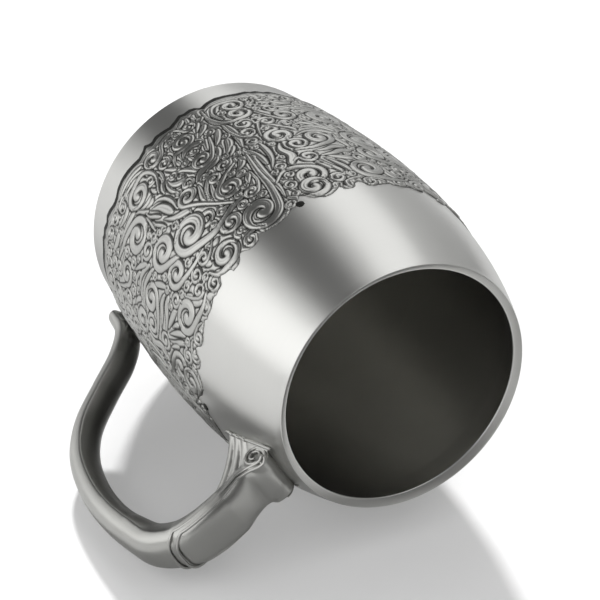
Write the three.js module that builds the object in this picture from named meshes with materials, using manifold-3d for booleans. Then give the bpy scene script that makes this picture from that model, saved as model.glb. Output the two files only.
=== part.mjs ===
// Barrel tankard in cast pewter: a bellied wall in two castings, a let-in bottom,
// a jacket of four cast relief panels and one strap handle with a flared root.
// Millimetres, +Z up, origin at the centre of the underside, handle towards +X.

import * as THREE from 'three';
import { mergeVertices } from 'three/addons/utils/BufferGeometryUtils.js';
import Module from 'manifold-3d';

const wasm = await Module();
wasm.setup();

// Barrel
const HEIGHT = 120;
const BELLY_LEVEL = 0.483; // share of the height at the widest turn
const BELLY_RADIUS = 46.4;
const MOUTH_RADIUS = 37.6;
const FOOT_RADIUS = 41.4;
const NECK_POWER = 2.55; // how late the wall draws in towards the mouth
const FOOT_POWER = 1.7; // how late it draws in towards the foot
const WALL = 2.2;
const FOOT_ROUND = 1.4;
const LIP_WIDTH = 2.2; // bevel of the lip, across
const LIP_FALL = 1.7; // and down into the mouth
const LIP_EASE = 0.4; // round on the lip's outer edge
const LIP_TAPER = 8; // depth over which the lip thins to the wall
const LAP_DEPTH = 5; // overlap of the two castings at the belly
const TURN_STEPS = 64;
const WALL_STEPS = 8;
const ROUND_STEPS = 5;

// Bottom plate
const PLATE_RADIUS = 38;
const PLATE_THICKNESS = 2.2;
const PLATE_EASE = 0.4;
const LEDGE_WIDTH = 2.4;
const LEDGE_THICKNESS = 1.8;

// Relief jacket
const PLAIN_FOOT = 15.4; // smooth band under the jacket
const PLAIN_NECK = 35; // smooth band above it
const RELIEF_THICKNESS = 0.9;
const PANELS = 4;
const SCALLOPS_PER_PANEL = 8;
const SCALLOP_RISE = 1.2;
const PANEL_RINGS = 7;

// Handle
const ARM_DROP = 9; // from the lip down to the middle of the upper arm
const TAIL_HEIGHT = 12.5; // tail tip above the table
const HANDLE_REACH = 38; // middle of the grip off the wall
const HANDLE_HALF_WIDTH = 6.6;
const HANDLE_HALF_DEPTH = 4.75;
const OUTER_FULLNESS = 0.62; // below 1 the back of the strap is squarer than an ellipse
const PALM_FULLNESS = 0.55; // the side towards the fingers is flatter still
const HANDLE_STEPS = 44;
const PANEL_FROM = 0.14; // raised panel on the arm's back, as shares of the strap
const PANEL_TO = 0.335;
const PANEL_RISE = 0.9;
const PANEL_END_POWER = 0.3; // below 1 its ends are blunt
const PANEL_STEPS = 16;
const SECTION_POINTS = 20;

// Flared root under the arm
const ROOT_LENGTH = 20.5; // off the wall, along the arm
const ROOT_DROP = 17.8; // down the wall, from the middle of the arm
const ROOT_SWEEP = 1.6; // curve of its underside
const ROOT_COVE = 0.5; // curve of its sides, below 1 they draw in at once
const ROOT_HALF_WIDTH = 11.2;
const ROOT_FULLNESS = 0.3;
const ROOT_TOP = 0.8; // its top above the arm's middle, as a share of the strap's half depth
const ROOT_TOE_DEPTH = 0.4; // depth left where it runs out, as a share of the strap's
const ROOT_TOE_WIDTH = 0.8; // width left there, as a share of the strap's
const ROOT_STEPS = 8;
const VOLUTE_RADIUS = 4.4;
const VOLUTE_SPAN = 16; // across both scroll eyes
const VOLUTE_OUT = 2.5; // scroll eye off the wall
const VOLUTE_DROP = 1; // scroll eye under the middle of the arm

// Solder seam between neighbours
const SEAM = 0.3;

const BELLY_Z = HEIGHT * BELLY_LEVEL;
const JACKET_TOP = HEIGHT - PLAIN_NECK;
const ARM_Z = HEIGHT - ARM_DROP;

function wallRadius(z) {
  if (z > BELLY_Z) {
    const rise = (z - BELLY_Z) / (HEIGHT - BELLY_Z);
    return BELLY_RADIUS - (BELLY_RADIUS - MOUTH_RADIUS) * rise ** NECK_POWER;
  }
  const fall = (BELLY_Z - z) / BELLY_Z;
  return BELLY_RADIUS - (BELLY_RADIUS - FOOT_RADIUS) * fall ** FOOT_POWER;
}

// Points up or down the wall, moved out by a fixed amount.
function wallLine(fromZ, toZ, outward, steps = WALL_STEPS) {
  const line = [];
  for (let step = 0; step <= steps; step += 1) {
    const z = THREE.MathUtils.lerp(fromZ, toZ, step / steps);
    line.push(new THREE.Vector2(wallRadius(z) + outward, z));
  }
  return line;
}

// Rounds of a profile.
function arc(centreR, centreZ, radius, fromAngle, toAngle) {
  const line = [];
  for (let step = 0; step <= ROUND_STEPS; step += 1) {
    const angle = THREE.MathUtils.lerp(fromAngle, toAngle, step / ROUND_STEPS);
    line.push(new THREE.Vector2(centreR + radius * Math.cos(angle), centreZ + radius * Math.sin(angle)));
  }
  return line;
}

// Revolves a profile about the upright axis.
function turned(profile) {
  const geometry = new THREE.LatheGeometry(profile, TURN_STEPS);
  return geometry.rotateX(Math.PI / 2);
}

// Skins a closed body over a row of sections. The outline lays the same points out flat for the ends,
// anticlockwise when seen from the last section.
function loft(sections, outline) {
  const count = outline.length;
  const positions = sections.flat().flatMap((point) => point.toArray());
  const faces = [];
  for (let ring = 0; ring < sections.length - 1; ring += 1) {
    for (let corner = 0; corner < count; corner += 1) {
      const here = ring * count + corner;
      const beside = ring * count + ((corner + 1) % count);
      faces.push(here, beside, beside + count, here, beside + count, here + count);
    }
  }
  const last = (sections.length - 1) * count;
  for (const [a, b, c] of THREE.ShapeUtils.triangulateShape(outline, [])) {
    faces.push(c, b, a, last + a, last + b, last + c);
  }
  const geometry = new THREE.BufferGeometry();
  geometry.setAttribute('position', new THREE.Float32BufferAttribute(positions, 3));
  geometry.setIndex(faces);
  return geometry;
}

function toSolid(geometry) {
  const bare = geometry.clone();
  bare.deleteAttribute('normal');
  bare.deleteAttribute('uv');
  const merged = mergeVertices(bare, 1e-4);
  const corners = merged.index.array;
  const kept = [];
  for (let first = 0; first < corners.length; first += 3) {
    const [a, b, c] = corners.slice(first, first + 3);
    if (a !== b && b !== c && c !== a) kept.push(a, b, c);
  }
  const mesh = new wasm.Mesh({
    numProp: 3,
    vertProperties: new Float32Array(merged.attributes.position.array),
    triVerts: new Uint32Array(kept),
  });
  return new wasm.Manifold(mesh);
}

function toGeometry(solid) {
  const mesh = solid.getMesh();
  const geometry = new THREE.BufferGeometry();
  geometry.setAttribute('position', new THREE.BufferAttribute(new Float32Array(mesh.vertProperties), 3));
  geometry.setIndex(new THREE.BufferAttribute(new Uint32Array(mesh.triVerts), 1));
  geometry.computeVertexNormals();
  return geometry;
}

// Lower casting: foot ring, ledge for the bottom plate, and the outer half of the lap at the belly.
function lowerBarrel() {
  const ledgeUnder = PLATE_THICKNESS + SEAM;
  const ledgeTop = ledgeUnder + LEDGE_THICKNESS;
  const lap = (WALL - SEAM) / 2;
  const footCentre = wallRadius(FOOT_ROUND) - FOOT_ROUND;
  const profile = [
    new THREE.Vector2(PLATE_RADIUS + SEAM, 0),
    ...arc(footCentre, FOOT_ROUND, FOOT_ROUND, -Math.PI / 2, 0),
    ...wallLine(FOOT_ROUND, BELLY_Z, 0).slice(1),
    ...wallLine(BELLY_Z, BELLY_Z - LAP_DEPTH, -lap, 1),
    ...wallLine(BELLY_Z - LAP_DEPTH, ledgeTop, -WALL),
    new THREE.Vector2(PLATE_RADIUS - LEDGE_WIDTH, ledgeTop),
    new THREE.Vector2(PLATE_RADIUS - LEDGE_WIDTH, ledgeUnder),
    new THREE.Vector2(PLATE_RADIUS + SEAM, ledgeUnder),
  ];
  return turned([...profile, profile[0]]);
}

// Upper casting: spigot of the lap, drawn-in neck, and a thickened lip with an inward bevel.
function upperBarrel() {
  const lap = (WALL + SEAM) / 2;
  const easeZ = HEIGHT - LIP_EASE;
  const throatZ = HEIGHT - LIP_FALL;
  const profile = [
    ...wallLine(BELLY_Z + SEAM, easeZ, 0),
    ...arc(wallRadius(easeZ) - LIP_EASE, easeZ, LIP_EASE, 0, Math.PI / 2).slice(1),
    new THREE.Vector2(MOUTH_RADIUS - LIP_WIDTH, throatZ),
    ...wallLine(throatZ - LIP_TAPER, BELLY_Z - LAP_DEPTH + SEAM, -WALL),
    ...wallLine(BELLY_Z - LAP_DEPTH + SEAM, BELLY_Z + SEAM, -lap, 1),
  ];
  return turned([...profile, profile[0]]);
}

// Bottom: a flat disc with eased edges, its underside flush with the foot.
function bottomPlate() {
  const rim = PLATE_RADIUS - PLATE_EASE;
  return turned([
    new THREE.Vector2(0, 0),
    new THREE.Vector2(rim, 0),
    new THREE.Vector2(PLATE_RADIUS, PLATE_EASE),
    new THREE.Vector2(PLATE_RADIUS, PLATE_THICKNESS - PLATE_EASE),
    new THREE.Vector2(rim, PLATE_THICKNESS),
    new THREE.Vector2(0, PLATE_THICKNESS),
  ]);
}

// One panel of the relief jacket, bent to the barrel, with both borders scalloped.
function reliefPanel(index) {
  const span = (2 * Math.PI) / PANELS;
  const halfSeam = SEAM / 2 / BELLY_RADIUS;
  const steps = (2 * TURN_STEPS) / PANELS;
  const outlineAt = (share) => {
    const scallop = Math.abs(Math.sin(Math.PI * SCALLOPS_PER_PANEL * share));
    const foot = PLAIN_FOOT - SCALLOP_RISE * scallop;
    const top = JACKET_TOP + SCALLOP_RISE * scallop;
    return [
      ...wallLine(foot, top, RELIEF_THICKNESS + SEAM, PANEL_RINGS),
      ...wallLine(top, foot, SEAM, PANEL_RINGS),
    ];
  };
  const sections = [];
  for (let step = 0; step <= steps; step += 1) {
    const share = step / steps;
    const angle = index * span + THREE.MathUtils.lerp(span - halfSeam, halfSeam, share);
    const bent = (point) => new THREE.Vector3(point.x * Math.cos(angle), point.x * Math.sin(angle), point.y);
    sections.push(outlineAt(share).map(bent));
  }
  return loft(sections, outlineAt(0));
}

// Stations down the handle from the arm's root to the tail tip. Level runs from 1 at the arm to 0 at
// the tip, out is the share of the reach off the wall, and wide and deep are shares of the section.
const STATIONS = [
  { level: 0.998, out: -0.14, wide: 0.95, deep: 0.86 },
  { level: 1.0, out: 0.1, wide: 1.08, deep: 0.95 },
  { level: 0.994, out: 0.225, wide: 0.99, deep: 0.68 },
  { level: 1.005, out: 0.42, wide: 1.05, deep: 0.76 },
  { level: 1.005, out: 0.64, wide: 1.06, deep: 0.82 },
  { level: 0.983, out: 0.84, wide: 1.04, deep: 0.96 },
  { level: 0.918, out: 0.968, wide: 0.98, deep: 1.0 },
  { level: 0.827, out: 0.994, wide: 0.92, deep: 0.95 },
  { level: 0.69, out: 1.008, wide: 0.87, deep: 0.88 },
  { level: 0.543, out: 0.977, wide: 0.85, deep: 0.83 },
  { level: 0.406, out: 0.885, wide: 0.83, deep: 0.78 },
  { level: 0.302, out: 0.717, wide: 0.8, deep: 0.68 },
  { level: 0.226, out: 0.476, wide: 0.76, deep: 0.55 },
  { level: 0.158, out: 0.232, wide: 0.75, deep: 0.53 },
  { level: 0.085, out: 0.1, wide: 0.76, deep: 0.5 },
  { level: 0.0, out: 0.068, wide: 0.74, deep: 0.32 },
];

// A flattened round, fuller where the power is below 1.
function swell(value, power) {
  return Math.sign(value) * Math.abs(value) ** power;
}

function ovalPoint(corner, halfWidth, halfDepth, backPower, palmPower) {
  const angle = (2 * Math.PI * corner) / SECTION_POINTS;
  const height = Math.sin(angle);
  const power = height > 0 ? backPower : palmPower;
  return new THREE.Vector2(halfWidth * swell(Math.cos(angle), power), halfDepth * swell(height, power));
}

function unitOval(backPower, palmPower) {
  return Array.from({ length: SECTION_POINTS }, (_, corner) => ovalPoint(corner, 1, 1, backPower, palmPower));
}

// A stretch of the strap: one curve down the stations, with the section square to it and tapering
// with it. The back can be raised over the stretch, easing in and out at its ends.
function handleStrap(fromShare, toShare, steps, rise) {
  const path = new THREE.CatmullRomCurve3(STATIONS.map((station) => {
    const z = THREE.MathUtils.lerp(TAIL_HEIGHT, ARM_Z, station.level);
    return new THREE.Vector3(wallRadius(z) + HANDLE_REACH * station.out, 0, z);
  }));
  const size = new THREE.SplineCurve(STATIONS.map((station) => new THREE.Vector2(
    HANDLE_HALF_WIDTH * station.wide,
    HANDLE_HALF_DEPTH * station.deep,
  )));
  const across = new THREE.Vector3(0, 1, 0);
  const sections = [];
  for (let step = 0; step <= steps; step += 1) {
    const share = THREE.MathUtils.lerp(fromShare, toShare, step / steps);
    const centre = path.getPoint(share);
    const back = new THREE.Vector3().crossVectors(across, path.getTangent(share)).negate();
    const half = size.getPoint(share);
    const lift = rise * Math.sin((Math.PI * step) / steps) ** PANEL_END_POWER;
    const section = [];
    for (let corner = 0; corner < SECTION_POINTS; corner += 1) {
      const point = ovalPoint(corner, half.x + lift / 2, half.y, OUTER_FULLNESS, PALM_FULLNESS);
      const height = point.y + lift * Math.max(0, Math.sign(point.y));
      section.push(centre.clone().addScaledVector(across, point.x).addScaledVector(back, height));
    }
    sections.push(section);
  }
  return loft(sections, unitOval(OUTER_FULLNESS, PALM_FULLNESS));
}

// Flared root: a bracket that widens and deepens from the arm's underside to the wall. Its sections
// are bent like the wall, and the first lies inside it.
function handleRoot() {
  const toeDepth = HANDLE_HALF_DEPTH * ROOT_TOE_DEPTH;
  const sections = [];
  for (let step = -1; step <= ROOT_STEPS; step += 1) {
    const run = Math.max(0, step / ROOT_STEPS);
    const share = run ** 2;
    const cove = run ** ROOT_COVE;
    const off = step < 0 ? -WALL : ROOT_LENGTH * share;
    const halfWidth = THREE.MathUtils.lerp(ROOT_HALF_WIDTH, HANDLE_HALF_WIDTH * ROOT_TOE_WIDTH, cove);
    const top = THREE.MathUtils.lerp(HANDLE_HALF_DEPTH * ROOT_TOP, toeDepth, cove);
    const drop = toeDepth + (ROOT_DROP - toeDepth) * (1 - share) ** ROOT_SWEEP;
    const section = [];
    for (let corner = 0; corner < SECTION_POINTS; corner += 1) {
      const point = ovalPoint(corner, halfWidth, (top + drop) / 2, ROOT_FULLNESS, ROOT_FULLNESS);
      const z = ARM_Z + (top - drop) / 2 + point.y;
      const wallX = Math.sqrt(wallRadius(z) ** 2 - point.x ** 2);
      section.push(new THREE.Vector3(wallX + off, point.x, z));
    }
    sections.push(section);
  }
  return loft(sections, unitOval(ROOT_FULLNESS, ROOT_FULLNESS));
}

// Scroll eyes: one turned boss across the root shows as a low disc on either side.
function rootVolutes() {
  const boss = new THREE.CylinderGeometry(VOLUTE_RADIUS, VOLUTE_RADIUS, VOLUTE_SPAN, SECTION_POINTS);
  return boss.translate(wallRadius(ARM_Z) + VOLUTE_OUT, 0, ARM_Z - VOLUTE_DROP);
}

// Room that the barrel and its jacket take out of the handle, one seam wider than they are.
function barrelRoom() {
  const footStep = PLAIN_FOOT - SCALLOP_RISE - SEAM;
  const topStep = JACKET_TOP + SCALLOP_RISE + SEAM;
  const profile = [
    new THREE.Vector2(0, -WALL),
    new THREE.Vector2(wallRadius(0) + SEAM, -WALL),
    ...wallLine(0, footStep, SEAM),
    ...wallLine(footStep, topStep, RELIEF_THICKNESS + 2 * SEAM),
    ...wallLine(topStep, HEIGHT, SEAM),
    new THREE.Vector2(wallRadius(HEIGHT) + SEAM, HEIGHT + WALL),
    new THREE.Vector2(0, HEIGHT + WALL),
  ];
  return turned(profile);
}

function handleCasting() {
  const strap = toSolid(handleStrap(0, 1, HANDLE_STEPS, 0));
  const panel = toSolid(handleStrap(PANEL_FROM, PANEL_TO, PANEL_STEPS, PANEL_RISE));
  const root = toSolid(handleRoot()).add(toSolid(rootVolutes()));
  return toGeometry(strap.add(panel).add(root).subtract(toSolid(barrelRoom())));
}

const satinPewter = { color: 0xb9bab5, roughness: 0.32, metalness: 1 };
const darkPewter = { color: 0x55564f, roughness: 0.6, metalness: 1 };
const reliefPewter = { color: 0x8f908a, roughness: 0.42, metalness: 1 };
const castPewter = { color: 0xa2a29b, roughness: 0.4, metalness: 1 };

const tankard = new THREE.Group();

function addPiece(name, geometry, finish) {
  const piece = new THREE.Mesh(geometry, new THREE.MeshStandardMaterial(finish));
  piece.name = name;
  tankard.add(piece);
}

addPiece('barrel_lower', lowerBarrel(), satinPewter);
addPiece('barrel_upper', upperBarrel(), satinPewter);
addPiece('base_plate', bottomPlate(), darkPewter);
for (let index = 0; index < PANELS; index += 1) {
  addPiece(`relief_panel_${index + 1}`, reliefPanel(index), reliefPewter);
}
addPiece('handle', handleCasting(), castPewter);

export default tankard;
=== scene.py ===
import bmesh
import bpy
import math
import numpy as np
from mathutils import Matrix, Vector


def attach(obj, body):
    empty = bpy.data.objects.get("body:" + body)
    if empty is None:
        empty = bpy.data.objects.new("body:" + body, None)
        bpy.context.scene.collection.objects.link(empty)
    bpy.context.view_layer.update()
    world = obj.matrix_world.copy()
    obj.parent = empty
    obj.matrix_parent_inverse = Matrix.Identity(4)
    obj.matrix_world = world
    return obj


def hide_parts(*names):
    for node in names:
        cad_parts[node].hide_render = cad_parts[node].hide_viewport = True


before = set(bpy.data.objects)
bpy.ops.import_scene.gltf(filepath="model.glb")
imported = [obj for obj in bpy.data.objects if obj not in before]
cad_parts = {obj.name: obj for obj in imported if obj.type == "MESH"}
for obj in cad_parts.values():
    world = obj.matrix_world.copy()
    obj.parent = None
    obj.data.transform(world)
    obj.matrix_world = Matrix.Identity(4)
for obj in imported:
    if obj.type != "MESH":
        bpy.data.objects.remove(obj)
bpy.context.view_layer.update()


# Viewpoint. The tankard lies on its side in front of the lens, so the camera stands over the mouth,
# turned about its own axis, in the upright frame of the part.
camera_data = bpy.data.cameras.new("viewpoint")
camera_data.sensor_width = 36.0
camera_data.lens = 155.94
camera = bpy.data.objects.new("viewpoint", camera_data)
camera.location = (0.05674, -0.47452, 0.64655)
camera.rotation_euler = [math.radians(turn) for turn in (-29.716, -26.880, 148.116)]
bpy.context.scene.collection.objects.link(camera)
bpy.context.scene.camera = camera
bpy.context.scene.view_settings.view_transform = "Standard"


# Table top. A wide sheet of white board under the belly and the grip, with the tankard's soft shadow.
# It is one-sided, so that it never stands between the tankard and a viewer behind it, and in the metal
# it shows a painted shade close behind the tankard, a darkening painted into its colour for reflections
# only.
class Shade:
    """One socket of a finish. Arithmetic on it adds Math nodes."""

    def __init__(self, tree, socket):
        self.tree = tree
        self.socket = socket

    @classmethod
    def node(cls, tree, kind, settings=(), sockets=(), out=0):
        made = tree.nodes.new(kind)
        for name, value in dict(settings).items():
            setattr(made, name, value)
        for name, value in dict(sockets).items():
            if isinstance(value, Shade):
                tree.links.new(value.socket, made.inputs[name])
            else:
                made.inputs[name].default_value = value
        return cls(tree, made.outputs[out])

    def sum(self, operation, first, second):
        return Shade.node(self.tree, "ShaderNodeMath", {"operation": operation}, {0: first, 1: second})

    def __add__(self, other):
        return self.sum("ADD", self, other)

    def __radd__(self, other):
        return self.sum("ADD", other, self)

    def __sub__(self, other):
        return self.sum("SUBTRACT", self, other)

    def __rsub__(self, other):
        return self.sum("SUBTRACT", other, self)

    def __mul__(self, other):
        return self.sum("MULTIPLY", self, other)

    def __rmul__(self, other):
        return self.sum("MULTIPLY", other, self)

    def __rpow__(self, other):
        return self.sum("POWER", other, self)

    def size(self):
        return self.sum("ABSOLUTE", self, 0.0)


def new_finish(name):
    finish = bpy.data.materials.new(name)
    finish.use_nodes = True
    finish.node_tree.nodes.clear()
    return finish, finish.node_tree


def show(tree, shader):
    output = tree.nodes.new("ShaderNodeOutputMaterial")
    tree.links.new(shader.socket, output.inputs["Surface"])


def speckle(tree, place, scale, detail):
    """Soft noise over a surface, from 0 to 1."""
    sockets = {"Vector": place, "Scale": scale, "Detail": detail}
    return Shade.node(tree, "ShaderNodeTexNoise", sockets=sockets, out="Fac")


def blend(tree, factor, first, second):
    """The first colour where the factor is 0 and the second where it is 1."""
    sockets = {"Factor": factor, "A": first, "B": second}
    return Shade.node(tree, "ShaderNodeMix", {"data_type": "RGBA"}, sockets, out="Result")


board_normal = Vector((-0.5075, -0.8604, 0.0465)).normalized()
board_level = -0.04505
board_half = 2.0
eye_glow = 0.20
gloss_glow = 0.03
painted_shade_share = 0.8
painted_shade_rise = 40.0  # for each metre behind the tankard
painted_shade_fade = 25.0  # for each metre to either side
toward_lens = camera.location - Vector((0.02, 0.0, 0.06))
toward_lens = (toward_lens - toward_lens.dot(board_normal) * board_normal).normalized()
rightward = board_normal.cross(toward_lens)
board_finish, tree = new_finish("white_board")
facing = Shade.node(tree, "ShaderNodeNewGeometry", out="Backfacing")
seen_by_eye = Shade.node(tree, "ShaderNodeLightPath", out="Is Camera Ray")
seen_in_gloss = Shade.node(tree, "ShaderNodeLightPath", out="Is Glossy Ray")
seen_through = Shade.node(tree, "ShaderNodeLightPath", out="Is Transmission Ray")
place = Shade.node(tree, "ShaderNodeTexCoord", out="Object")
speck = speckle(tree, place, 40.0, 4.0)
tone = blend(tree, speck, (0.585, 0.585, 0.585, 1.0), (0.615, 0.615, 0.615, 1.0))
dot = {"operation": "DOT_PRODUCT"}
forward = Shade.node(tree, "ShaderNodeVectorMath", dot, {0: place, 1: toward_lens}, out="Value")
aside = Shade.node(tree, "ShaderNodeVectorMath", dot, {0: place, 1: rightward}, out="Value")
# Painted shade: close behind the tankard the board's colour darkens, for glossy rays only, as a dark pool
# seen in the metal.
behind = Shade.node(tree, "ShaderNodeClamp", sockets={"Value": forward * -painted_shade_rise})
beside = Shade.node(tree, "ShaderNodeClamp", sockets={"Value": 2.718 ** (1.1 - aside.size() * painted_shade_fade)})
shade_painted_tone = blend(tree, seen_in_gloss * behind * beside * painted_shade_share, tone, (0.0, 0.0, 0.0, 1.0))
matt = Shade.node(tree, "ShaderNodeBsdfDiffuse", sockets={"Color": shade_painted_tone})
glow = Shade.node(tree, "ShaderNodeEmission", sockets={
    "Color": (1.0, 1.0, 1.0, 1.0),
    "Strength": seen_by_eye * eye_glow + (seen_in_gloss + seen_through) * gloss_glow,
})
lit = Shade.node(tree, "ShaderNodeAddShader", sockets={0: matt, 1: glow})
clear = Shade.node(tree, "ShaderNodeBsdfTransparent")
show(tree, Shade.node(tree, "ShaderNodeMixShader", sockets={0: facing, 1: lit, 2: clear}))
bm = bmesh.new()
bmesh.ops.create_grid(bm, x_segments=2, y_segments=2, size=board_half)
bmesh.ops.rotate(bm, verts=bm.verts, matrix=board_normal.to_track_quat("Z", "Y").to_matrix())
bmesh.ops.translate(bm, verts=bm.verts, vec=board_normal * board_level)
board_mesh = bpy.data.meshes.new("table_top")
bm.to_mesh(board_mesh)
bm.free()
board = bpy.data.objects.new("table_top", board_mesh)
board.data.materials.append(board_finish)
bpy.context.scene.collection.objects.link(board)


# Studio light. Long soft boxes stand along the tankard's axis, each told by its turn round that axis:
# on the left a broad one, dimmer below, with a narrow one beside it, and behind four that lean a
# little. A sun from behind throws the shadow forwards and doesn't show in the metal.
def strip_light(name, turn, half_turn, radiance, lean=0.0, low=-0.85, high=1.30):
    """A lamp from a low to a high level along its length, in metres from half a metre below the foot."""
    away = 0.5
    foot_level = -0.5
    wide = 2 * away * math.tan(math.radians(half_turn))
    long = high - low
    lamp_data = bpy.data.lights.new(name, "AREA")
    lamp_data.shape = "RECTANGLE"
    lamp_data.size = wide
    lamp_data.size_y = long
    lamp_data.energy = radiance * math.pi * wide * long
    lamp = bpy.data.objects.new(name, lamp_data)
    way = Vector((math.cos(math.radians(turn)), math.sin(math.radians(turn)), 0.0))
    up = Matrix.Rotation(math.radians(-lean), 3, way) @ Vector((0.0, 0.0, 1.0))
    lamp.location = way * away + Vector((0.0, 0.0, foot_level)) + up * (low + high) / 2
    lamp.rotation_euler = Matrix((up.cross(way), up, way)).transposed().to_euler()
    lamp.visible_camera = False
    bpy.context.scene.collection.objects.link(lamp)


strip_light("left_strip", -51.0, 19.0, 1.65, low=0.05)
strip_light("left_low", -51.0, 19.0, 1.15, high=0.05)
strip_light("left_edge", -76.0, 5.0, 0.8)
strip_light("back_strip", -151.0, 17.0, 1.35, 10.0)
strip_light("back_edge", -179.0, 9.0, 0.5, 10.0)
strip_light("far_edge", -199.0, 11.0, 0.42, 10.0)
strip_light("top_edge", -129.0, 5.0, 0.6, 10.0)
sun_side = math.radians(-4.5)
sun_height = math.radians(26.0)
sun_way = math.cos(sun_height) * (math.sin(sun_side) * rightward - math.cos(sun_side) * toward_lens)
key_data = bpy.data.lights.new("shadow_key", "SUN")
key_data.energy = 6.2
key_data.angle = math.radians(5.0)
key = bpy.data.objects.new("shadow_key", key_data)
key.rotation_euler = (sun_way + math.sin(sun_height) * board_normal).to_track_quat("Z", "Y").to_euler()
key.visible_glossy = False
bpy.context.scene.collection.objects.link(key)
surround = bpy.data.worlds.new("studio")
surround.use_nodes = True
tree = surround.node_tree
tree.nodes.clear()
seen_by_eye = Shade.node(tree, "ShaderNodeLightPath", out="Is Camera Ray")
far_wall = blend(tree, seen_by_eye, (0.12, 0.12, 0.12, 1.0), (1.0, 1.0, 1.0, 1.0))
sky = Shade.node(tree, "ShaderNodeBackground", sockets={"Color": far_wall, "Strength": 1.0})
output = tree.nodes.new("ShaderNodeOutputWorld")
tree.links.new(sky.socket, output.inputs["Surface"])
bpy.context.scene.world = surround


# Lower half of the barrel. One turned pewter casting from the foot ring to the belly, with a ledge
# inside for the bottom and the outer half of the lap that joins the two halves.
height = 120.0
belly_z = 57.96
belly_radius = 46.4
mouth_radius = 37.6
foot_radius = 41.4
neck_power = 2.55
foot_power = 1.7
wall = 2.2
seam = 0.3
foot_round = 1.4
lap_depth = 5.0
plate_radius = 38.0
plate_thickness = 2.2
ledge_width = 2.4
ledge_thickness = 1.8
turn_steps = 224
wall_steps = 40
round_steps = 10


def wall_radius(z):
    if z > belly_z:
        rise = (z - belly_z) / (height - belly_z)
        return belly_radius - (belly_radius - mouth_radius) * rise ** neck_power
    fall = (belly_z - z) / belly_z
    return belly_radius - (belly_radius - foot_radius) * fall ** foot_power


def wall_line(from_z, to_z, outward, steps=wall_steps):
    levels = [from_z + (to_z - from_z) * step / steps for step in range(steps + 1)]
    return [(wall_radius(z) + outward, z) for z in levels]


def quarter(centre_r, centre_z, radius, from_turn, to_turn):
    turns = [from_turn + (to_turn - from_turn) * step / round_steps for step in range(round_steps + 1)]
    turns = [math.radians(turn) for turn in turns]
    return [(centre_r + radius * math.cos(turn), centre_z + radius * math.sin(turn)) for turn in turns]


def turned(profile):
    """A closed profile of radius and level, spun once round the upright axis."""
    shape = bmesh.new()
    ring = [shape.verts.new((radius, 0.0, z)) for radius, z in profile]
    edges = [shape.edges.new(pair) for pair in zip(ring, ring[1:] + ring[:1])]
    bmesh.ops.spin(shape, geom=ring + edges, axis=(0.0, 0.0, 1.0), cent=(0.0, 0.0, 0.0),
                   angle=2 * math.pi, steps=turn_steps, use_merge=True)
    bmesh.ops.remove_doubles(shape, verts=shape.verts, dist=1e-5)
    bmesh.ops.recalc_face_normals(shape, faces=shape.faces)
    for edge in shape.edges:
        edge.smooth = edge.calc_face_angle(0.0) < 0.5
    return shape


def stand(shape, name, slot, *nodes):
    """Makes a piece of a shape in millimetres and puts it on the part's one body."""
    bmesh.ops.scale(shape, vec=(0.001, 0.001, 0.001), verts=shape.verts)
    mesh = bpy.data.meshes.new(name)
    shape.to_mesh(mesh)
    shape.free()
    mesh.polygons.foreach_set("use_smooth", [True] * len(mesh.polygons))
    piece = bpy.data.objects.new(name, mesh)
    bpy.context.scene.collection.objects.link(piece)
    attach(piece, "root")
    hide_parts(*nodes)
    return piece


def turned_pewter(name, light, dark, roughness, streak):
    """Pewter from the lathe: fine rings round the axis over a faint cloudy tone."""
    finish, tree = new_finish(name)
    place = Shade.node(tree, "ShaderNodeTexCoord", out="Object")
    along = Shade.node(tree, "ShaderNodeMapping", sockets={"Vector": place, "Scale": (25.0, 25.0, 4200.0)})
    rings = speckle(tree, along, 1.0, 3.0)
    cloud = speckle(tree, place, 38.0, 3.0)
    colour = blend(tree, cloud * 0.6 + rings * 0.4, dark, light)
    relief = Shade.node(tree, "ShaderNodeBump", sockets={
        "Strength": streak, "Distance": 0.00002, "Height": rings,
    })
    show(tree, Shade.node(tree, "ShaderNodeBsdfPrincipled", sockets={
        "Base Color": colour, "Metallic": 1.0, "Roughness": roughness + rings * 0.1, "Normal": relief,
    }))
    return finish


satin = turned_pewter("satin_pewter", (0.60, 0.60, 0.582, 1.0), (0.525, 0.525, 0.51, 1.0), 0.27, 0.35)
inner_satin = turned_pewter("inner_pewter", (0.525, 0.518, 0.49, 1.0), (0.46, 0.454, 0.43, 1.0), 0.25, 0.3)
rim_satin = turned_pewter("rim_pewter", (0.52, 0.52, 0.50, 1.0), (0.46, 0.46, 0.445, 1.0), 0.34, 0.3)
ledge_under = plate_thickness + seam
ledge_top = ledge_under + ledge_thickness
foot_centre = wall_radius(foot_round) - foot_round
lower_profile = [
    (plate_radius + seam, 0.0),
    *quarter(foot_centre, foot_round, foot_round, -90, 0),
    *wall_line(foot_round, belly_z, 0.0)[1:],
    *wall_line(belly_z, belly_z - lap_depth, -wall / 2, 2),
    *wall_line(belly_z - lap_depth, ledge_top, -wall),
    (plate_radius - ledge_width, ledge_top),
    (plate_radius - ledge_width, ledge_under),
    (plate_radius + seam, ledge_under),
]


def line_inside(piece, below):
    """Gives the faces that look in at the axis the inner finish, and the rim finish above a level."""
    for finish in (satin, inner_satin, rim_satin):
        piece.data.materials.append(finish)
    for face in piece.data.polygons:
        outward = face.center.x * face.normal.x + face.center.y * face.normal.y
        inside = outward < -0.3 * math.hypot(face.center.x, face.center.y)
        face.material_index = (1 if face.center.z * 1000.0 < below else 2) if inside else 0


lower = stand(turned(lower_profile), "lower_barrel", "satin_pewter", "barrel_lower")
line_inside(lower, belly_z)


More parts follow.
